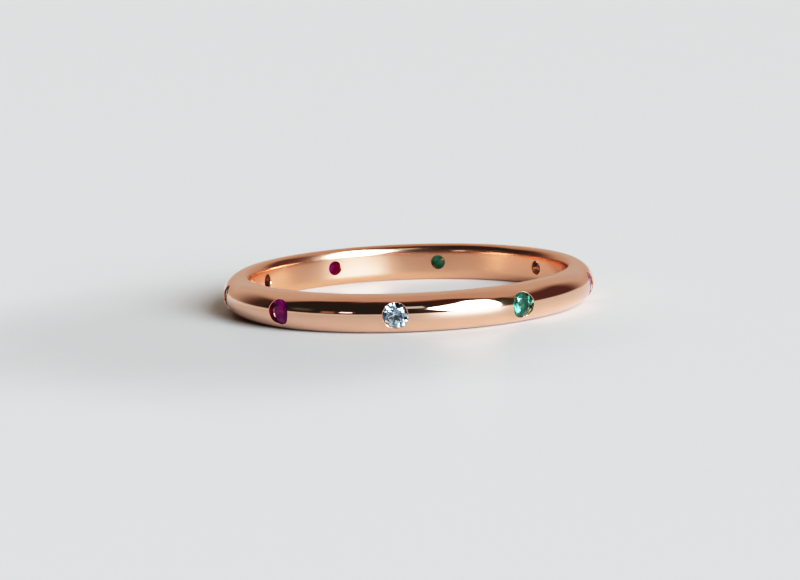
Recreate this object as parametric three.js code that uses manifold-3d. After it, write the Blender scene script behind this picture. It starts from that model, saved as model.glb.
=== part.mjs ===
// Stackable ring: a domed rose gold band with nine small round stones set flush round it.
// Millimetres. The ring lies on its side: +Z is the way that a finger passes through it, and its lower
// flank is at Z = 0. Turn 0 is the side at -Y, and turns grow towards +X.

import * as THREE from 'three';
import { mergeVertices } from 'three/addons/utils/BufferGeometryUtils.js';
import Module from 'manifold-3d';

const wasm = await Module();
wasm.setup();

// The band: a half-round section, plain inside, with eased inner edges and a narrow flat on each flank
const INNER_DIAMETER = 17.1;
const BAND_THICKNESS = 1.45;
const BAND_WIDTH = 2.0;
const INNER_EDGE_REACH = 0.3;
const INNER_EDGE_HEIGHT = 0.5;
const FLANK_FLAT = 0.15;

// The stones: all of one size, with a pointed culet
const STONE_DIAMETER = 1.35;
const GIRDLE_HEIGHT = 0.04;

// The seats: a flared mouth, a thin lip over the girdle, a bearing for the pavilion and a drilled hole
const SEAT_CLEARANCE = 0.015;
const LIP_REACH = 0.02;
const LIP_THICKNESS = 0.03;
const MOUTH_FLARE_DEG = 3;
const HOLE_DIAMETER = 0.75;
const CUT_PAST = 0.5;

// The brilliant cut. Table, crown and pavilion are shares of the stone's diameter. The star is a share of
// the way from the table's edge to the girdle, and the lower half a share of the way in to the culet.
const CUT = { table: 0.56, crown: 0.155, pavilion: 0.43, star: 0.52, lowerHalf: 0.77 };

// Each stone's colour, its turn round the band and its own spin about its axis, in degrees. They are set
// by eye, so neither is quite even.
const STONES = [
  { kind: 'ruby', turn: -43.2, spin: 9 },
  { kind: 'aquamarine', turn: -4.2, spin: 31 },
  { kind: 'emerald', turn: 36.6, spin: 17 },
  { kind: 'ruby', turn: 79, spin: 40 },
  { kind: 'aquamarine', turn: 124, spin: 4 },
  { kind: 'emerald', turn: 168.4, spin: 26 },
  { kind: 'ruby', turn: 208.4, spin: 13 },
  { kind: 'aquamarine', turn: 244.5, spin: 37 },
  { kind: 'emerald', turn: 280.5, spin: 21 },
];

// Facets that stand for the round shapes
const BAND_STEPS = 96;
const DOME_STEPS = 12;
const EDGE_STEPS = 6;
const SEAT_SIDES = 24;
const CUT_FOLD = 8;

const MATERIALS = {
  roseGold: new THREE.MeshStandardMaterial({ color: 0xd99a7c, roughness: 0.12, metalness: 1 }),
  ruby: new THREE.MeshStandardMaterial({ color: 0xa3135f, roughness: 0.03, metalness: 0 }),
  aquamarine: new THREE.MeshStandardMaterial({ color: 0xc4e0ec, roughness: 0.03, metalness: 0 }),
  emerald: new THREE.MeshStandardMaterial({ color: 0x1f8a6a, roughness: 0.03, metalness: 0 }),
};

// Places in the band's section
const innerRadius = INNER_DIAMETER / 2;
const outerRadius = innerRadius + BAND_THICKNESS;
const halfWidth = BAND_WIDTH / 2;
const flankInside = innerRadius + INNER_EDGE_REACH;
const flankOutside = flankInside + FLANK_FLAT;
const domeReach = outerRadius - flankOutside;

// Places in a stone, from its axis and from the upper edge of its girdle
const stoneRadius = STONE_DIAMETER / 2;
const tableRadius = stoneRadius * CUT.table;
const crownHeight = STONE_DIAMETER * CUT.crown;
const pavilionDepth = STONE_DIAMETER * CUT.pavilion;
const crownSlope = crownHeight / (stoneRadius - tableRadius);
const pavilionSlope = pavilionDepth / stoneRadius;

// Places in a seat. Its lip and its bearing run beside the stone's crown and pavilion.
const pocketRadius = stoneRadius + SEAT_CLEARANCE;
const lipRadius = stoneRadius - LIP_REACH;
const holeRadius = HOLE_DIAMETER / 2;
const lipGap = SEAT_CLEARANCE * Math.hypot(1, crownSlope);
const bearingGap = SEAT_CLEARANCE * Math.hypot(1, pavilionSlope);
const lipHeight = (radius) => lipGap + (stoneRadius - radius) * crownSlope;
const bearingHeight = (radius) => -GIRDLE_HEIGHT - bearingGap - (stoneRadius - radius) * pavilionSlope;

// The girdle lies as deep as the dome falls away at the pocket's edge, and a lip's thickness more
const domeDrop = (across) => domeReach * (1 - Math.sqrt(1 - (across / halfWidth) ** 2));
const girdleDepth = domeDrop(pocketRadius) + lipHeight(pocketRadius) + LIP_THICKNESS;
const girdleRadius = outerRadius - girdleDepth;

// A place on the band: +Y points out of it at that turn, and the origin is on the girdle's upper edge
function settingMatrix(turn) {
  const aroundBand = new THREE.Matrix4().makeRotationZ(Math.PI + THREE.MathUtils.degToRad(turn));
  const outToGirdle = new THREE.Matrix4().makeTranslation(0, girdleRadius, 0);
  return new THREE.Matrix4().makeTranslation(0, 0, halfWidth).multiply(aroundBand).multiply(outToGirdle);
}

function toSolid(geometry) {
  const bare = geometry.clone();
  bare.deleteAttribute('normal');
  bare.deleteAttribute('uv');
  const shared = mergeVertices(bare);
  const corners = shared.index.array;
  const triangles = [];
  for (let i = 0; i < corners.length; i += 3) {
    const [a, b, c] = corners.slice(i, i + 3);
    if (a !== b && b !== c && c !== a) triangles.push(a, b, c);
  }
  return new wasm.Manifold(new wasm.Mesh({
    numProp: 3,
    vertProperties: new Float32Array(shared.attributes.position.array),
    triVerts: new Uint32Array(triangles),
  }));
}

function toGeometry(solid) {
  const mesh = solid.getMesh();
  const geometry = new THREE.BufferGeometry();
  geometry.setAttribute('position', new THREE.BufferAttribute(new Float32Array(mesh.vertProperties), 3));
  geometry.setIndex(new THREE.BufferAttribute(new Uint32Array(mesh.triVerts), 1));
  geometry.computeVertexNormals();
  return geometry;
}

// The band before its seats are cut, turned from its section
function bandGeometry() {
  const arc = (x, y, reachX, reachY, from, to, steps) =>
    new THREE.EllipseCurve(x, y, reachX, reachY, from * Math.PI, to * Math.PI).getPoints(steps);
  const [edgeReach, edgeHeight] = [INNER_EDGE_REACH, INNER_EDGE_HEIGHT];
  const section = [
    ...arc(flankInside, edgeHeight, edgeReach, edgeHeight, 1, 1.5, EDGE_STEPS),
    ...arc(flankOutside, halfWidth, domeReach, halfWidth, -0.5, 0.5, DOME_STEPS),
    ...arc(flankInside, BAND_WIDTH - edgeHeight, edgeReach, edgeHeight, 0.5, 1, EDGE_STEPS),
  ];
  section.push(section[0].clone());
  return new THREE.LatheGeometry(section, BAND_STEPS).rotateX(Math.PI / 2);
}

// What a setting tool takes out of the band for one stone, turned about the stone's axis
function seatGeometry() {
  const flats = 1 / Math.cos(Math.PI / SEAT_SIDES);
  const bottom = innerRadius - girdleRadius - CUT_PAST;
  const top = girdleDepth + CUT_PAST;
  const flare = Math.tan(THREE.MathUtils.degToRad(MOUTH_FLARE_DEG));
  const mouthRadius = lipRadius + (top - lipHeight(lipRadius)) * flare;
  const outline = [
    new THREE.Vector2(0, bottom),
    new THREE.Vector2(holeRadius * flats, bottom),
    new THREE.Vector2(holeRadius * flats, bearingHeight(holeRadius)),
    new THREE.Vector2(pocketRadius * flats, bearingHeight(pocketRadius)),
    new THREE.Vector2(pocketRadius * flats, lipHeight(pocketRadius)),
    new THREE.Vector2(lipRadius * flats, lipHeight(lipRadius)),
    new THREE.Vector2(mouthRadius * flats, top),
    new THREE.Vector2(0, top),
  ];
  return new THREE.LatheGeometry(outline, SEAT_SIDES, Math.PI / SEAT_SIDES);
}

// A round brilliant: the table, eight stars, eight kites and sixteen upper halves over the girdle, and
// sixteen lower halves and eight mains under it
function brilliantGeometry() {
  const fold = (2 * Math.PI) / CUT_FOLD;
  const ring = (count, radius, height, shift) => Array.from({ length: count }, (_, i) =>
    new THREE.Vector3().setFromCylindricalCoords(radius, ((i * CUT_FOLD) / count + shift) * fold, height));
  const between = Math.cos(fold / 2);
  const starRadius = THREE.MathUtils.lerp(tableRadius * between, stoneRadius, CUT.star);
  const starHeight = (stoneRadius - starRadius * between) * crownSlope;
  const pavilionRadius = stoneRadius * (1 - CUT.lowerHalf);
  const pavilionHeight = -GIRDLE_HEIGHT - (stoneRadius - pavilionRadius * between) * pavilionSlope;
  const table = ring(CUT_FOLD, tableRadius, crownHeight, 0);
  const star = ring(CUT_FOLD, starRadius, starHeight, 0.5);
  const upper = ring(2 * CUT_FOLD, stoneRadius, 0, 0);
  const lower = ring(2 * CUT_FOLD, stoneRadius, -GIRDLE_HEIGHT, 0);
  const pavilion = ring(CUT_FOLD, pavilionRadius, pavilionHeight, 0.5);
  const culet = new THREE.Vector3(0, -GIRDLE_HEIGHT - pavilionDepth, 0);
  const at = (points, i) => points[(i + points.length) % points.length];
  const corners = [];
  for (let i = 0; i < CUT_FOLD; i += 1) {
    if (i > 0) corners.push(table[0], table[i], at(table, i + 1));
    corners.push(table[i], star[i], at(table, i + 1));
    corners.push(table[i], at(star, i - 1), upper[2 * i]);
    corners.push(table[i], upper[2 * i], star[i]);
    corners.push(star[i], upper[2 * i], upper[2 * i + 1]);
    corners.push(star[i], upper[2 * i + 1], at(upper, 2 * i + 2));
    corners.push(lower[2 * i], pavilion[i], lower[2 * i + 1]);
    corners.push(lower[2 * i + 1], pavilion[i], at(lower, 2 * i + 2));
    corners.push(lower[2 * i], at(pavilion, i - 1), culet);
    corners.push(lower[2 * i], culet, pavilion[i]);
  }
  for (let i = 0; i < 2 * CUT_FOLD; i += 1) {
    corners.push(upper[i], lower[i], at(lower, i + 1));
    corners.push(upper[i], at(lower, i + 1), at(upper, i + 1));
  }
  const geometry = new THREE.BufferGeometry().setFromPoints(corners);
  geometry.computeVertexNormals();
  return geometry;
}

function makeBand() {
  const seat = toSolid(seatGeometry());
  let metal = toSolid(bandGeometry());
  for (const { turn } of STONES) {
    metal = metal.subtract(seat.transform(settingMatrix(turn).toArray()));
  }
  const band = new THREE.Mesh(toGeometry(metal), MATERIALS.roseGold);
  band.name = 'band';
  return band;
}

function makeStone(kind, count, turn, spin) {
  const stone = new THREE.Mesh(brilliantGeometry(), MATERIALS[kind]);
  stone.name = `${kind}_${count}`;
  stone.rotation.y = THREE.MathUtils.degToRad(spin);
  const setting = new THREE.Group();
  setting.applyMatrix4(settingMatrix(turn));
  setting.add(stone);
  return setting;
}

const ring = new THREE.Group();
ring.name = 'stackable_ring';
ring.add(makeBand());
const made = {};
for (const { kind, turn, spin } of STONES) {
  made[kind] = (made[kind] ?? 0) + 1;
  ring.add(makeStone(kind, made[kind], turn, spin));
}

export default ring;
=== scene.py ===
# %% [markdown]
# A slim stacking ring of polished rose gold. Nine small round stones, ruby, aquamarine and emerald in turn,
# are set flush in it, so that nothing stands proud to catch on the ring worn next to it. The exact solids
# are loaded first and stay where they are. This file adds what they leave plain: a band fine enough to
# mirror its surroundings without facets, the finish of the metal, and the light inside the stones. The
# frame is in metres, so a size in millimetres is written as a number times MM.

# %% The solids as a fixed frame
import math

import bpy
from mathutils import Matrix, Vector


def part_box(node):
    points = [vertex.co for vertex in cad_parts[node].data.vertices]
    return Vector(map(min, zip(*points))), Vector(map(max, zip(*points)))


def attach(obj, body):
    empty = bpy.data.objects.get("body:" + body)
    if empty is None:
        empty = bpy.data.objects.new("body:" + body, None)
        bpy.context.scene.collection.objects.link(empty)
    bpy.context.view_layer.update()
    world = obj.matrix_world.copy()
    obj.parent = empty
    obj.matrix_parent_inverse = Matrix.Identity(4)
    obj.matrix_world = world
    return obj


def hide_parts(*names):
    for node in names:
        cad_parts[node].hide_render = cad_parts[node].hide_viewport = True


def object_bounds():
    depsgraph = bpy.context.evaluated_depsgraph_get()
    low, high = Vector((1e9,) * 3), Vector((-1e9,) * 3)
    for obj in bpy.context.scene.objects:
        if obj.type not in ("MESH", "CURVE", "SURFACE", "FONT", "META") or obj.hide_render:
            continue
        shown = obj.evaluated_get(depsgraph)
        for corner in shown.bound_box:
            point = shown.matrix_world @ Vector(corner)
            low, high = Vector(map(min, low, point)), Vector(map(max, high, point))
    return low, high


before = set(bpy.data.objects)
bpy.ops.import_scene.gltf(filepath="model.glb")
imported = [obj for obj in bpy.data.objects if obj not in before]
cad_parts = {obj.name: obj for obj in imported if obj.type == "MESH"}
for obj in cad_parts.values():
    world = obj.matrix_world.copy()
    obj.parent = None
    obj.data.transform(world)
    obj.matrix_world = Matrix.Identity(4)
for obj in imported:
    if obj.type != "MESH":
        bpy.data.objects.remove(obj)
solid_box = [list(corner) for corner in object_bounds()]
MM = 0.001
print("solids from", solid_box[0], "to", solid_box[1])

# %% [markdown]
# A long lens from a low seat shows the ring as a slim oval with its far wall behind it. The distance, the
# height and the slight lean were worked out from the shape of that oval and from where the stones stand
# in it. A camera could be nudged until the oval looks right, but then distance and lens are easily mixed
# up. This one aims a little to the left of the ring's middle and below it, which sets the framing without
# any shift of the lens.

# %% Camera
CAMERA_DISTANCE = 188.6 * MM
CAMERA_HEIGHT_DEG = 8.77
CAMERA_LEAN_DEG = 2.22
IMAGE_WIDTH = 800
IMAGE_HEIGHT = 580
SENSOR_WIDTH_MM = 36.0
FOCAL_PIXELS = 3492.6
RING_IN_IMAGE = (408.4, 285.9)
NEAREST_SEEN = 10 * MM
FARTHEST_SEEN = 4.0

ring_middle = (Vector(solid_box[0]) + Vector(solid_box[1])) / 2


def make_camera():
    rise = math.radians(CAMERA_HEIGHT_DEG)
    away = Vector((0, -math.cos(rise), math.sin(rise)))
    data = bpy.data.cameras.new("camera")
    data.sensor_width = SENSOR_WIDTH_MM
    data.lens = FOCAL_PIXELS * SENSOR_WIDTH_MM / IMAGE_WIDTH
    data.clip_start = NEAREST_SEEN
    data.clip_end = FARTHEST_SEEN
    camera = bpy.data.objects.new("camera", data)
    bpy.context.collection.objects.link(camera)
    to_right = math.atan2(RING_IN_IMAGE[0] - IMAGE_WIDTH / 2, FOCAL_PIXELS)
    to_bottom = math.atan2(RING_IN_IMAGE[1] - IMAGE_HEIGHT / 2, FOCAL_PIXELS)
    straight = (-away).to_track_quat("-Z", "Y").to_matrix()
    lean = Matrix.Rotation(math.radians(-CAMERA_LEAN_DEG), 3, "Z")
    aim = Matrix.Rotation(to_right, 3, "Y") @ Matrix.Rotation(to_bottom, 3, "X")
    place = Matrix.Translation(ring_middle + away * CAMERA_DISTANCE)
    camera.matrix_world = place @ (straight @ lean @ aim).to_4x4()
    bpy.context.scene.camera = camera
    return camera


camera = make_camera()
print("lens %.0f mm, %.0f mm from the ring" % (camera.data.lens, CAMERA_DISTANCE / MM))

# %% [markdown]
# Node trees are built from a few kinds of node again and again, so small helpers add one and fill its
# sockets in one line. Patterns read Object coordinates. A ring is tiny in metres, so they are scaled to
# millimetres first, and every pattern size below is then a size on the real ring. Noise seldom strays far
# from one half, so its values are spread out from a narrow span or a wide one before they are used.

# %% Helpers for node trees
NARROW_SPAN = (0.35, 0.65)
WIDE_SPAN = (0.3, 0.7)


def empty_material(name):
    material = bpy.data.materials.new(name)
    material.use_nodes = True
    material.node_tree.nodes.clear()
    return material


def fill(tree, socket, value):
    if isinstance(value, bpy.types.NodeSocket):
        tree.links.new(value, socket)
    else:
        socket.default_value = value


def add(tree, kind, settings=None, **sockets):
    node = tree.nodes.new(kind)
    for key, value in (settings or {}).items():
        setattr(node, key, value)
    for key, value in sockets.items():
        fill(tree, node.inputs[key.replace("_", " ")], value)
    return node


def calc(tree, operation, *values):
    node = tree.nodes.new("ShaderNodeMath")
    node.operation = operation
    for socket, value in zip(node.inputs, values):
        fill(tree, socket, value)
    return node.outputs[0]


def spread(tree, value, low, high, to_low=0.0, to_high=1.0):
    node = add(tree, "ShaderNodeMapRange", {"interpolation_type": "SMOOTHSTEP"}, Value=value,
               From_Min=low, From_Max=high, To_Min=to_low, To_Max=to_high)
    return node.outputs["Result"]


def colour(red, green, blue):
    return (red, green, blue, 1.0)


def blend_colours(tree, share, first, second):
    """The colour sockets of a Mix node come after those for numbers and for vectors."""
    node = add(tree, "ShaderNodeMix", {"data_type": "RGBA"})
    fill(tree, node.inputs[0], share)
    fill(tree, node.inputs[6], first)
    fill(tree, node.inputs[7], second)
    return node.outputs[2]


def millimetres(tree):
    place = add(tree, "ShaderNodeTexCoord").outputs["Object"]
    scaled = add(tree, "ShaderNodeVectorMath", {"operation": "SCALE"}, Scale=1 / MM)
    fill(tree, scaled.inputs[0], place)
    return scaled.outputs[0]


def mottle(tree, place, size_mm, detail=2.0):
    node = add(tree, "ShaderNodeTexNoise", Vector=place, Scale=1 / size_mm, Detail=detail)
    return node.outputs["Fac"]


# %% [markdown]
# The band is one bar of metal bent round: half round outside, plain inside, with eased inner edges and a
# narrow flat on each flank. Its sizes could be typed in again, but they are measured from the solid, so
# that the two can't drift apart. Only the eased edges are given a second time, because facets blur where
# they start. The solid's finger hole has 96 flats, and its nearest points lie in the middle of them, so
# the true round wall is a hair further out.

# %% Sizes of the band
FACETS_OF_THE_SOLID = 96
EDGE_REACH = 0.3 * MM
EDGE_HEIGHT = 0.5 * MM

low_corner, high_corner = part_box("band")
outer_radius = high_corner.x
half_width = (high_corner.z - low_corner.z) / 2
dome_radius = outer_radius - half_width
band_points = [vertex.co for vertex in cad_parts["band"].data.vertices]
middle_of_flats = min(math.hypot(point.x, point.y) for point in band_points)
wall_radius = middle_of_flats / math.cos(math.pi / FACETS_OF_THE_SOLID)
print("band: inside %.2f mm, outside %.2f mm" % (wall_radius / MM, outer_radius / MM))

# %% [markdown]
# Work by hand is a round of the same moves: drop the old selection, pick what comes next, and change it.
# Blender's operators act on whatever is selected, in a script too. So these helpers select one piece, or
# the points of it that pass a test, and apply a modifier.

# %% Helpers for modelling
NEAR = 0.001 * MM
SAME_PLACE = NEAR / 10


def select_nothing():
    if bpy.context.object and bpy.context.object.mode != "OBJECT":
        bpy.ops.object.mode_set(mode="OBJECT")
    bpy.ops.object.select_all(action="DESELECT")


def only(piece):
    select_nothing()
    piece.select_set(True)
    bpy.context.view_layer.objects.active = piece


def pick(wanted):
    """Selects in edit mode the vertices that wanted says yes to, with the edges and faces between them."""
    bpy.ops.object.mode_set(mode="OBJECT")
    mesh = bpy.context.object.data
    chosen = {vertex.index for vertex in mesh.vertices if wanted(vertex)}
    for vertex in mesh.vertices:
        vertex.select = vertex.index in chosen
    for part in (*mesh.edges, *mesh.polygons):
        part.select = chosen.issuperset(part.vertices)
    bpy.ops.object.mode_set(mode="EDIT")


def apply_modifier(piece, kind, **settings):
    only(piece)
    modifier = piece.modifiers.new(kind.lower(), kind)
    for key, value in settings.items():
        setattr(modifier, key, value)
    bpy.ops.object.modifier_apply(modifier=modifier.name)


# %% [markdown]
# A torus could be pushed into shape, but a polished ring shows every error of its curve. So the section is
# drawn at full size, as for a lathe. A circle as wide as the band is cut in half, and its straight side is
# pulled inwards, first to leave the flat on each flank and then to the finger hole. The two inner corners
# are rounded, and then stretched, because the edge is eased further along the finger than into the flank.

# %% Section of the band
DOME_SIDES = 128
EDGE_STEPS = 10


def innermost(piece):
    """How far from the ring's axis the section's nearest points are."""
    bpy.ops.object.mode_set(mode="OBJECT")
    return min(vertex.co.x for vertex in piece.data.vertices)


def draw_section():
    select_nothing()
    bpy.ops.mesh.primitive_circle_add(vertices=DOME_SIDES, radius=half_width, fill_type="NGON",
                                      location=(dome_radius, 0, half_width), rotation=(math.pi / 2, 0, 0))
    band = bpy.context.object
    band.name = band.data.name = "polished_band"
    bpy.ops.object.transform_apply()
    bpy.ops.object.mode_set(mode="EDIT")
    bpy.ops.mesh.select_mode(type="VERT")
    bpy.ops.mesh.select_all(action="SELECT")
    bpy.ops.mesh.bisect(plane_co=(dome_radius, 0, half_width), plane_no=(1, 0, 0), clear_inner=True,
                        threshold=NEAR)
    for place in (wall_radius + EDGE_REACH, wall_radius):
        edge = innermost(band)
        pick(lambda vertex: vertex.co.x < edge + NEAR)
        move = {"value": (place - edge, 0, 0)}
        bpy.ops.mesh.extrude_region_move(TRANSFORM_OT_translate=move)
    return band


def ease_edges():
    pick(lambda vertex: vertex.co.x < wall_radius + NEAR)
    bpy.ops.mesh.bevel(offset=EDGE_REACH, segments=EDGE_STEPS, affect="VERTICES")
    for flank in (0, 2 * half_width):
        pick(lambda vertex: vertex.co.x < wall_radius + EDGE_REACH - NEAR
             and abs(vertex.co.z - flank) < EDGE_REACH + NEAR)
        bpy.ops.transform.resize(value=(1, 1, EDGE_HEIGHT / EDGE_REACH), center_override=(0, 0, flank))


band = draw_section()
ease_edges()
bpy.ops.object.mode_set(mode="OBJECT")
print("section:", len(band.data.vertices), "points")

# %% [markdown]
# The section is spun once round the finger hole, which makes the band true all the way round. The flat wall
# is divided first, so that its faces don't grow long and thin. The section's own face is deleted, because
# it would stay behind inside the metal, and the first and last rows are merged to close the band.

# %% Section spun round the finger hole
WALL_CUTS = 9
SPIN_STEPS = 576


def spin_section():
    bpy.ops.object.mode_set(mode="EDIT")
    bpy.ops.mesh.select_all(action="SELECT")
    bpy.ops.mesh.remove_doubles(threshold=SAME_PLACE)
    bpy.ops.mesh.dissolve_faces()
    pick(lambda vertex: vertex.co.x < wall_radius + NEAR)
    bpy.ops.mesh.subdivide(number_cuts=WALL_CUTS)
    bpy.ops.mesh.select_all(action="SELECT")
    bpy.ops.mesh.delete(type="ONLY_FACE")
    bpy.ops.mesh.select_all(action="SELECT")
    bpy.ops.mesh.spin(steps=SPIN_STEPS, angle=2 * math.pi, center=(0, 0, 0), axis=(0, 0, 1))
    bpy.ops.mesh.select_all(action="SELECT")
    bpy.ops.mesh.remove_doubles(threshold=SAME_PLACE)
    bpy.ops.mesh.normals_make_consistent(inside=False)
    bpy.ops.object.mode_set(mode="OBJECT")


spin_section()
print("band before its seats:", len(band.data.vertices), "vertices,", len(band.data.polygons), "faces")

# %% [markdown]
# Each stone sits in a seat drilled for it, and the two fit to a hundredth of a millimetre. The places could
# be listed a second time, but they are read from the solid stones, so that each seat meets its stone. The
# culet gives the direction, and the widest points give the girdle.

# %% Where the stones stand
stones = {name: node for name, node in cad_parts.items() if name != "band"}


def off_axis(point, culet, out):
    """How far a point is from a stone's own axis, which runs outwards through its culet."""
    arm = point - culet
    return (arm - arm.dot(out) * out).length


def measure_stone(node):
    points = [vertex.co for vertex in node.data.vertices]
    culet = min(points, key=lambda point: math.hypot(point.x, point.y))
    out = Vector((culet.x, culet.y, 0)).normalized()
    radius = max(off_axis(point, culet, out) for point in points)
    girdle = max(point.dot(out) for point in points if off_axis(point, culet, out) > radius - NEAR)
    return {"turn": math.atan2(out.x, -out.y), "radius": radius, "girdle": girdle}


measured = {name: measure_stone(node) for name, node in stones.items()}
for name, facts in sorted(measured.items()):
    print("%-13s turn %7.2f, radius %.3f mm" % (name, math.degrees(facts["turn"]), facts["radius"] / MM))

# %% [markdown]
# A setter's tools leave a hole through to the finger side that lets light in, a cone that carries the
# stone's pavilion, a pocket for its girdle, and a thin lip of metal pushed over it. Each could be a solid
# of its own to cut with, but all are round about one axis. So a seat is one list of rows, each a radius and
# a distance from the ring's axis. The rows that face the stone follow the slopes of its cut with a small
# gap, so that stone and metal never share a surface. All nine stones have one size, so any of them gives
# it.

# %% Rows of a seat
SEAT_CLEARANCE = 0.015 * MM
LIP_REACH = 0.02 * MM
HOLE_RADIUS = 0.375 * MM
HOLE_EASING = 0.03 * MM
GIRDLE_HEIGHT = 0.04 * MM
BRIGHT_CUT = 0.02 * MM
CUT_PAST = 0.5 * MM
MOUTH_FLARE_DEG = 3

# The brilliant cut, as shares of the stone's diameter.
CROWN_SHARE = 0.155
FLAT_TOP_SHARE = 0.56
PAVILION_SHARE = 0.43
crown_slope = 2 * CROWN_SHARE / (1 - FLAT_TOP_SHARE)
pavilion_slope = 2 * PAVILION_SHARE

stone_radius = measured["aquamarine_1"]["radius"]
stone_girdle = measured["aquamarine_1"]["girdle"]


def over_crown(place):
    gap = SEAT_CLEARANCE * math.hypot(1, crown_slope)
    return stone_girdle + gap + (stone_radius - place) * crown_slope


def under_pavilion(place):
    gap = SEAT_CLEARANCE * math.hypot(1, pavilion_slope)
    return stone_girdle - GIRDLE_HEIGHT - gap - (stone_radius - place) * pavilion_slope


def seat_rows():
    """Radius and distance from the ring's axis of each row, from the inside out."""
    pocket, lip = stone_radius + SEAT_CLEARANCE, stone_radius - LIP_REACH
    flare = math.tan(math.radians(MOUTH_FLARE_DEG))
    mouth = lip + flare * (outer_radius - over_crown(lip))
    return [
        (HOLE_RADIUS + HOLE_EASING, wall_radius - CUT_PAST),
        (HOLE_RADIUS + HOLE_EASING, wall_radius - HOLE_EASING / 2),
        (HOLE_RADIUS, wall_radius + HOLE_EASING),
        (HOLE_RADIUS, under_pavilion(HOLE_RADIUS)),
        (pocket, under_pavilion(pocket)),
        (pocket, over_crown(pocket)),
        (lip, over_crown(lip)),
        (mouth, outer_radius + CUT_PAST),
        (mouth + 2 * BRIGHT_CUT, outer_radius + CUT_PAST),
        (mouth + 2 * BRIGHT_CUT, outer_radius + 2 * CUT_PAST),
    ]


rows = seat_rows()
print("seat: %d rows, pocket %.3f mm in radius" % (len(rows), (stone_radius + SEAT_CLEARANCE) / MM))

# %% [markdown]
# A seat could be modelled in the band nine times over. Instead one cutter is built in the shape of the
# hollow. It starts as a disc inside the finger hole, and is extruded and resized from row to row.

# %% One seat cutter
SEAT_SIDES = 96


def build_cutter(rows):
    corners = 1 / math.cos(math.pi / SEAT_SIDES)
    radius, place = rows[0]
    select_nothing()
    bpy.ops.mesh.primitive_circle_add(vertices=SEAT_SIDES, radius=radius * corners, fill_type="NGON",
                                      location=(0, -place, half_width), rotation=(math.pi / 2, 0, 0))
    cutter = bpy.context.object
    cutter.name = "seat_cutter"
    bpy.ops.object.transform_apply()
    bpy.ops.object.mode_set(mode="EDIT")
    bpy.ops.mesh.select_all(action="SELECT")
    for next_radius, next_place in rows[1:]:
        move = {"value": (0, place - next_place, 0)}
        bpy.ops.mesh.extrude_region_move(TRANSFORM_OT_translate=move)
        ratio = next_radius / radius
        bpy.ops.transform.resize(value=(ratio, 1, ratio), center_override=(0, -next_place, half_width))
        radius, place = next_radius, next_place
    bpy.ops.mesh.select_all(action="SELECT")
    bpy.ops.mesh.normals_make_consistent(inside=False)
    bpy.ops.object.mode_set(mode="OBJECT")
    return cutter


cutter = build_cutter(rows)
print("seat cutter:", len(cutter.data.polygons), "faces")

# %% [markdown]
# The mouth of a flush seat has a narrow bright cut, a burnished bevel that flashes round the stone. It has
# to follow the band, which falls away to both flanks. A flat ring would cut deep in the middle and miss at
# the sides, so the bevel's two rows are dropped onto the band with a Shrinkwrap. Then the inner one is
# sunk a little into the metal, and the outer one is lifted as far above it.


# %% Bright cut round the mouth
def off_cutter_axis(vertex):
    return math.hypot(vertex.co.x, vertex.co.z - half_width)


def drop_bright_cut(cutter, rows):
    foot, level = rows[-3]
    top = rows[-2][0]
    bevel = [vertex for vertex in cutter.data.vertices if abs(vertex.co.y + level) < NEAR]
    feet = {vertex.index for vertex in bevel if off_cutter_axis(vertex) < (foot + top) / 2}
    tops = {vertex.index for vertex in bevel} - feet
    bevel_rows = cutter.vertex_groups.new(name="bevel_rows")
    bevel_rows.add(sorted(feet | tops), 1.0, "REPLACE")
    apply_modifier(cutter, "SHRINKWRAP", wrap_method="PROJECT", use_project_y=True, target=band,
                   use_positive_direction=True, use_negative_direction=False, vertex_group="bevel_rows")
    for chosen, move in ((feet, BRIGHT_CUT), (tops, -BRIGHT_CUT)):
        pick(lambda vertex: vertex.index in chosen)
        bpy.ops.transform.translate(value=(0, move, 0))
    bpy.ops.object.mode_set(mode="OBJECT")
    return len(bevel)


print("bright cut:", drop_bright_cut(cutter, rows), "points laid on the band")

# %% [markdown]
# The cutter is copied to each stone by turning its mesh about the finger hole. All nine are joined and
# taken out of the band in one cut, and the count of open edges afterwards shows whether the metal is still
# one closed skin. Shading is smooth but breaks at the crisp edges of the seats.

# %% Nine seats cut in one go
SHARP_DEG = 30


def cut_seats():
    copies = []
    for name in sorted(measured):
        copy = cutter.copy()
        copy.data = cutter.data.copy()
        copy.data.transform(Matrix.Rotation(measured[name]["turn"], 4, "Z"))
        bpy.context.collection.objects.link(copy)
        copies.append(copy)
    select_nothing()
    for copy in copies:
        copy.select_set(True)
    bpy.context.view_layer.objects.active = copies[0]
    bpy.ops.object.join()
    cutters = bpy.context.object
    apply_modifier(band, "BOOLEAN", object=cutters, operation="DIFFERENCE", solver="MANIFOLD")
    for spent in (cutters, cutter):
        bpy.data.objects.remove(spent)


def count_open_edges(piece):
    only(piece)
    bpy.ops.object.mode_set(mode="EDIT")
    bpy.ops.mesh.select_mode(type="EDGE")
    bpy.ops.mesh.select_all(action="DESELECT")
    bpy.ops.mesh.select_non_manifold()
    bpy.ops.object.mode_set(mode="OBJECT")
    return sum(edge.select for edge in piece.data.edges)


cut_seats()
only(band)
bpy.ops.object.shade_smooth_by_angle(angle=math.radians(SHARP_DEG))
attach(band, "root")
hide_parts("band")
band.data.calc_loop_triangles()
print("band:", len(band.data.loop_triangles), "triangles,", count_open_edges(band), "open edges")
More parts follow.
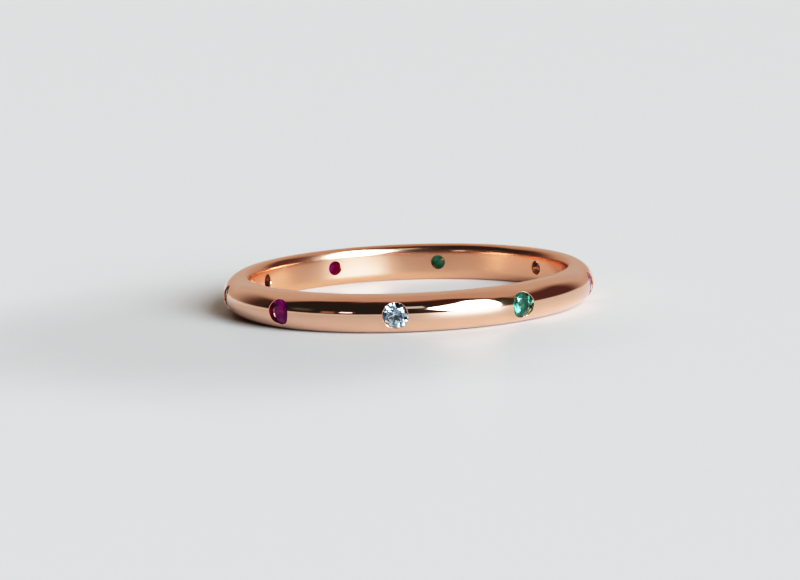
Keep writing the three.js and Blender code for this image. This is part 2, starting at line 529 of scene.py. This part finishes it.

# %% [markdown]
# Rose gold is gold with copper in it, and it colours what it mirrors. So it is a metal with a copper tint,
# and no diffuse colour at all. A hand-polished ring is never a perfect mirror: its gloss comes and goes in
# patches of a millimetre or two, and the last polishing wheel leaves hair-fine lines that run round the
# band. Both are kept faint, because the reflections on such a ring are crisp. The finger side is harder to
# reach with a wheel, so it is more satin. Its tint is also darker and deeper there, as painted shade for
# the light that bounces between the inner walls. A second material could be put on those faces, but it
# would end in a hard line, so both fade in by the distance from the ring's axis.

# %% Rose gold
GOLD = colour(0.90, 0.525, 0.375)
GOLD_COPPERY = colour(0.885, 0.505, 0.355)
# Painted shade: a darker, deeper tint for the finger side, where light bounces between the inner walls.
GOLD_INSIDE_PAINTED_SHADE = colour(0.80, 0.42, 0.265)
PATCH_MM = 1.6
LINE_MM = 0.03
LINE_STRETCH = 40
LINE_DETAIL = 1.0
GRAIN_MM = 0.05
WEAR_IN_PATCHES = 0.6
WEAR_IN_LINES = 0.4
POLISH_LOW, POLISH_HIGH = 0.035, 0.075
SATIN = 0.14
GRAIN_TO_LINES = 0.5
GOLD_BUMP = 0.02
GOLD_BUMP_HEIGHT = 0.01 * MM


def round_the_band(tree, place):
    """A place that runs round the band, across it and through it, in millimetres, and the last alone."""
    x, y, z = add(tree, "ShaderNodeSeparateXYZ", Vector=place).outputs
    turn = calc(tree, "ARCTAN2", y, x)
    along = calc(tree, "MULTIPLY", turn, outer_radius / MM / LINE_STRETCH)
    squares = calc(tree, "ADD", calc(tree, "MULTIPLY", x, x), calc(tree, "MULTIPLY", y, y))
    radius = calc(tree, "SQRT", squares)
    return add(tree, "ShaderNodeCombineXYZ", X=along, Y=z, Z=radius).outputs[0], radius


def make_rose_gold():
    material = empty_material("polished_rose_gold")
    tree = material.node_tree
    place = millimetres(tree)
    patches = mottle(tree, place, PATCH_MM)
    round_place, radius = round_the_band(tree, place)
    lines = mottle(tree, round_place, LINE_MM, LINE_DETAIL)
    grain = mottle(tree, place, GRAIN_MM)
    # This mask carries both the satin polish of the finger side and the painted shade of its deeper tint.
    inside_painted_shade_and_satin = spread(tree, radius, dome_radius / MM, (wall_radius + EDGE_REACH / 2) / MM)
    tint = blend_colours(tree, spread(tree, patches, *WIDE_SPAN), GOLD, GOLD_COPPERY)
    # Painted shade: the tint turns darker and deeper towards the finger side.
    tint = blend_colours(tree, inside_painted_shade_and_satin, tint, GOLD_INSIDE_PAINTED_SHADE)
    wear = calc(tree, "ADD", calc(tree, "MULTIPLY", patches, WEAR_IN_PATCHES),
                calc(tree, "MULTIPLY", lines, WEAR_IN_LINES))
    polish = spread(tree, wear, *NARROW_SPAN, POLISH_LOW, POLISH_HIGH)
    polish = calc(tree, "ADD", polish, calc(tree, "MULTIPLY", inside_painted_shade_and_satin, SATIN))
    height = calc(tree, "ADD", lines, calc(tree, "MULTIPLY", grain, GRAIN_TO_LINES))
    bump = add(tree, "ShaderNodeBump", Height=height, Strength=GOLD_BUMP, Distance=GOLD_BUMP_HEIGHT)
    shader = add(tree, "ShaderNodeBsdfPrincipled", Base_Color=tint, Metallic=1.0, Roughness=polish,
                 Normal=bump.outputs[0])
    add(tree, "ShaderNodeOutputMaterial", Surface=shader.outputs[0])
    return material


band.data.materials.clear()
band.data.materials.append(make_rose_gold())
print("rose gold:", len(band.data.materials[0].node_tree.nodes), "nodes")

# %% [markdown]
# The stones keep their solids, because a cut stone really is a body of flat, sharp facets. A plain coloured
# glass would make all three alike. What sets them apart is how much light gets through, and how far it is
# bent: the ruby is deep and shows its colour more than its sparkle, the emerald is a little clearer, and
# the aquamarine is clear and bends light most here, because its facets flash. Natural stones are not of
# one even colour either. Clouds of a stronger and a weaker tint run through them, and tiny growth lines
# cross the facets.

# %% Gemstones
GEMS = {
    "ruby": {
        "ior": 1.6,
        "clear": 0.72,
        "deep": colour(0.16, 0.002, 0.09),
        "light": colour(0.36, 0.008, 0.20),
        "glint": colour(0.8, 0.25, 0.6),
    },
    "aquamarine": {
        "ior": 1.77,
        "clear": 1.0,
        "deep": colour(0.08, 0.17, 0.25),
        "light": colour(0.90, 0.96, 0.98),
        "glint": colour(0.85, 0.95, 1.0),
    },
    "emerald": {
        "ior": 1.58,
        "clear": 0.92,
        "deep": colour(0.006, 0.10, 0.055),
        "light": colour(0.10, 0.31, 0.21),
        "glint": colour(0.7, 1.0, 0.9),
    },
}
CLOUD_MM = 0.35
GROWTH_MM = 0.06
GEM_POLISH = 0.01
GEM_BUMP = 0.02
GEM_BUMP_HEIGHT = 0.005 * MM


def make_gem(kind):
    gem = GEMS[kind]
    material = empty_material("cut_" + kind)
    tree = material.node_tree
    place = millimetres(tree)
    clouds = spread(tree, mottle(tree, place, CLOUD_MM), *NARROW_SPAN)
    tint = blend_colours(tree, clouds, gem["deep"], gem["light"])
    growth = mottle(tree, place, GROWTH_MM)
    bump = add(tree, "ShaderNodeBump", Height=growth, Strength=GEM_BUMP, Distance=GEM_BUMP_HEIGHT)
    shader = add(tree, "ShaderNodeBsdfPrincipled", Base_Color=tint, Roughness=GEM_POLISH, IOR=gem["ior"],
                 Transmission_Weight=gem["clear"], Specular_Tint=gem["glint"], Normal=bump.outputs[0])
    add(tree, "ShaderNodeOutputMaterial", Surface=shader.outputs[0])
    return material


gem_materials = {kind: make_gem(kind) for kind in GEMS}
for name, node in stones.items():
    node.data.materials.clear()
    node.data.materials.append(gem_materials[name.rsplit("_", 1)[0]])
print("stones:", sorted(stones))

# %% [markdown]
# The ring lies on a pale floor with a slight gloss, which throws the bright panel onto the band from below.
# Metal mirrors what it lies on, so the tone of the floor is the tone of the band's lower half. Next to the
# ring, centred a little to its left and front, a painted shade darkens the floor's colour, which keeps the
# gold warm there, and further out it is nearly white. An even colour would lose one or the other. The
# painted shade fades unevenly, so that it has no edge of its own.

# %% Pale floor
FLOOR_SIZE = 2.4
FLOOR_DROP = 0.005 * MM
FLOOR_MOTTLE_MM = 14.0
FLOOR_GRAIN_MM = 0.35
FLOOR_PALE = colour(0.66, 0.61, 0.545)
# Painted shade: a darker floor colour close to the ring.
FLOOR_PAINTED_SHADE = colour(0.50, 0.462, 0.412)
SHADE_MIDDLE_MM = (-8.0, -7.0, 0.0)
SHADE_REACH_MM = (12.0, 28.0)
SHADE_WANDER_MM = 8.0
FLOOR_GLOSS = (0.42, 0.47)
FLOOR_IOR = 1.2
FLOOR_BUMP = 0.03
FLOOR_BUMP_HEIGHT = 0.02 * MM


def make_floor_material():
    material = empty_material("pale_floor")
    tree = material.node_tree
    place = millimetres(tree)
    # Painted shade: the floor's colour darkens towards a point to the left of and in front of the ring.
    away = add(tree, "ShaderNodeVectorMath", {"operation": "DISTANCE"})
    fill(tree, away.inputs[0], place)
    fill(tree, away.inputs[1], SHADE_MIDDLE_MM)
    wander = calc(tree, "MULTIPLY", mottle(tree, place, FLOOR_MOTTLE_MM), SHADE_WANDER_MM)
    share = spread(tree, calc(tree, "ADD", away.outputs["Value"], wander), *SHADE_REACH_MM)
    tint = blend_colours(tree, share, FLOOR_PAINTED_SHADE, FLOOR_PALE)
    grain = mottle(tree, place, FLOOR_GRAIN_MM)
    gloss = spread(tree, grain, *WIDE_SPAN, *FLOOR_GLOSS)
    bump = add(tree, "ShaderNodeBump", Height=grain, Strength=FLOOR_BUMP, Distance=FLOOR_BUMP_HEIGHT)
    shader = add(tree, "ShaderNodeBsdfPrincipled", Base_Color=tint, Roughness=gloss, IOR=FLOOR_IOR,
                 Normal=bump.outputs[0])
    add(tree, "ShaderNodeOutputMaterial", Surface=shader.outputs[0])
    return material


def make_floor():
    select_nothing()
    bpy.ops.mesh.primitive_plane_add(size=FLOOR_SIZE, location=(0, 0, -FLOOR_DROP))
    floor = bpy.context.object
    floor.name = "floor"
    bpy.ops.object.transform_apply()
    floor.data.materials.append(make_floor_material())
    return floor


floor = make_floor()
print("%s: %.1f m square" % (floor.name, FLOOR_SIZE))

# %% [markdown]
# Polished metal has no look of its own: it shows what stands round it, in every direction at once. A few
# lamps would give it highlights and leave it black between them. So the surroundings are laid out by
# direction, as a photographer lays out panels, cards and flags, each over its own span of degrees.

# %% Directions round the ring
HALF_TURN = 180.0


def directions(tree):
    """Azimuth, 0 behind the lens and growing to its right, and elevation, both in degrees."""
    towards = add(tree, "ShaderNodeTexCoord").outputs["Generated"]
    x, y, z = add(tree, "ShaderNodeSeparateXYZ", Vector=towards).outputs
    azimuth = calc(tree, "ARCTAN2", x, calc(tree, "MULTIPLY", y, -1.0))
    elevation = calc(tree, "ARCSINE", z)
    return calc(tree, "DEGREES", azimuth), calc(tree, "DEGREES", elevation)


def within(tree, value, span, soft):
    """1 inside a span of degrees and 0 outside, and a soft change at each end."""
    middle, half = (span[0] + span[1]) / 2, (span[1] - span[0]) / 2
    off = calc(tree, "WRAP", calc(tree, "SUBTRACT", value, middle), HALF_TURN, -HALF_TURN)
    return spread(tree, calc(tree, "ABSOLUTE", off), half + soft / 2, half - soft / 2)


# %% [markdown]
# Dark flags stand on the left, on the right and above, and give the stripe that makes the metal read as
# polished. They are near black, brown or maroon, because a stripe of one even black looks painted on. Pale
# cards stand opposite the lens, and small cards and panels low on the left give the glints in the stripe.

# %% Cards and flags
CEILING = colour(0.567, 0.466, 0.42)
BACK_CARD = colour(0.625, 0.56, 0.50)
PEACH_CARD = colour(0.62, 0.45, 0.355)
BROWN_FLAG = colour(0.075, 0.055, 0.05)
UPPER_FLAG = colour(0.075, 0.035, 0.024)
MAROON_FLAG = colour(0.108, 0.06, 0.06)
BLACK_FLAG = colour(0.034, 0.035, 0.034)
OLIVE_CARD = colour(0.06, 0.07, 0.054)
SIDE_PANEL = colour(0.72, 0.90, 0.97)
GREY_CARD = colour(0.113, 0.148, 0.138)
COPPER_CARD = colour(0.34, 0.229, 0.19)
SMALL_PANEL = colour(3.2, 3.6, 4.0)

# Each one's colour, its span of azimuth, its span of elevation, and how soft its ends are in both, in
# degrees. A later one stands in front of those before it.
CARDS = [
    (BACK_CARD, (118, 242), (-5, 58), (24, 20)),
    (PEACH_CARD, (140, 220), (-5, 12), (24, 12)),
    (BROWN_FLAG, (-129, -60), (-5, 37), (42, 14)),
    (UPPER_FLAG, (-92, -50), (-5, 72), (18, 14)),
    (UPPER_FLAG, (-60, 68), (-5, 77), (16, 14)),
    (MAROON_FLAG, (74, 130), (-5, 40), (24, 16)),
    (BLACK_FLAG, (-100, 20), (-5, 63), (16, 12)),
    (OLIVE_CARD, (54, 75), (-5, 46), (4, 8)),
    (SIDE_PANEL, (-8, 10), (32, 44), (2, 4)),
    (GREY_CARD, (-78, -64), (12, 22), (8, 8)),
    (COPPER_CARD, (-56, -47), (5, 15), (2, 3)),
    (SMALL_PANEL, (-43.5, -35.5), (9.5, 13.5), (1, 1)),
]


def lay_out_cards(tree, azimuth, elevation):
    seen = CEILING
    for card, span, rise, soft in CARDS:
        aside = within(tree, azimuth, span, soft[0])
        up = within(tree, elevation, rise, soft[1])
        seen = blend_colours(tree, calc(tree, "MULTIPLY", aside, up), seen, card)
    return seen


print("cards and flags:", len(CARDS))

# %% [markdown]
# The bright panel stands to the right behind the lens and gives the long white streak. It stands askew, so
# a span of degrees can't give its shape, and each border is a straight line of its own. It is several times
# brighter at its foot than at its head. Close to the floor a pale card runs all the way round, and it
# stands in front of everything else.

# %% Bright panel and low card
PANEL_FOOT = colour(36.0, 43.5, 52.0)
PANEL_HEAD = colour(9.0, 11.0, 13.0)
PANEL_FADE = (12.0, 36.0)
LOW_CARD = colour(0.56, 0.60, 0.60)
LOW_CARD_TOP = 2.5
LOW_CARD_SOFT = 1.5

# A direction is on the panel where azimuth times the first number plus elevation times the second is less
# than the third, for every border. The fourth says how soft the border is. All are in degrees.
PANEL_BORDERS = {
    "left": (-1.0, 0.0, -12.4, 1.0),
    "leaning foot": (-1.0, -0.75, -30.0, 1.0),
    "rising top": (-0.65, 1.0, 23.0, 2.0),
    "falling top": (0.6, 1.0, 84.0, 2.0),
    "right": (1.0, -0.1, 56.5, 1.0),
    "bottom": (0.0, -1.0, -3.0, 1.0),
}


def panel_share(tree, azimuth, elevation):
    """1 on the bright panel and 0 off it."""
    share = 1.0
    for across, up, limit, soft in PANEL_BORDERS.values():
        aside = calc(tree, "MULTIPLY", azimuth, across)
        line = calc(tree, "ADD", aside, calc(tree, "MULTIPLY", elevation, up))
        share = calc(tree, "MULTIPLY", share, spread(tree, line, limit + soft, limit - soft))
    return share


def add_panel(tree, azimuth, elevation, seen):
    panel = blend_colours(tree, spread(tree, elevation, *PANEL_FADE), PANEL_FOOT, PANEL_HEAD)
    return blend_colours(tree, panel_share(tree, azimuth, elevation), seen, panel)


def add_low_card(tree, elevation, seen):
    low = spread(tree, elevation, LOW_CARD_TOP + LOW_CARD_SOFT, LOW_CARD_TOP - LOW_CARD_SOFT)
    return blend_colours(tree, low, seen, LOW_CARD)


print("bright panel:", len(PANEL_BORDERS), "borders")

# %% [markdown]
# All of this is put together in one world shader. The lens itself sees a plain pale backdrop in its place,
# so the cards and flags show only in the ring and on the floor.

# %% Surroundings
BACKDROP = colour(0.95, 0.96, 0.965)


def make_surroundings():
    world = bpy.data.worlds.new("surroundings")
    bpy.context.scene.world = world
    world.use_nodes = True
    tree = world.node_tree
    tree.nodes.clear()
    azimuth, elevation = directions(tree)
    seen = lay_out_cards(tree, azimuth, elevation)
    seen = add_panel(tree, azimuth, elevation, seen)
    seen = add_low_card(tree, elevation, seen)
    lens_ray = add(tree, "ShaderNodeLightPath").outputs["Is Camera Ray"]
    seen = blend_colours(tree, lens_ray, seen, BACKDROP)
    light = add(tree, "ShaderNodeBackground", Color=seen, Strength=1.0)
    add(tree, "ShaderNodeOutputWorld", Surface=light.outputs[0])
    return world


world = make_surroundings()
print("surroundings:", len(world.node_tree.nodes), "nodes")

# %% [markdown]
# Film presses dark tones together and lets bright ones run softly into white. The lights could be dimmed
# until nothing clips, but then the ring turns dull. So the view gets a curve that does what film does. It
# changes only how the picture is shown, and neither the lights nor the materials.

# %% Film response
# Light that reaches the film, and the tone that it is shown as.
FILM_STEPS = [
    (0.02, 0.010),
    (0.05, 0.031),
    (0.1, 0.078),
    (0.15, 0.133),
    (0.2, 0.19),
    (0.3, 0.298),
    (0.5, 0.5),
    (0.75, 0.67),
    (1.0, 0.79),
    (1.4, 0.89),
    (2.0, 0.96),
]
FILM_WHITE = 3.0
CURVE_FOR_ALL_COLOURS = 3


def set_film_response():
    view = bpy.context.scene.view_settings
    view.view_transform = "Standard"
    view.use_curve_mapping = True
    response = view.curve_mapping
    response.white_level = (FILM_WHITE, FILM_WHITE, FILM_WHITE)
    curve = response.curves[CURVE_FOR_ALL_COLOURS]
    for light, shown in FILM_STEPS:
        curve.points.new(light / FILM_WHITE, shown)
    response.update()
    return len(curve.points)


print("film response:", set_film_response(), "points")
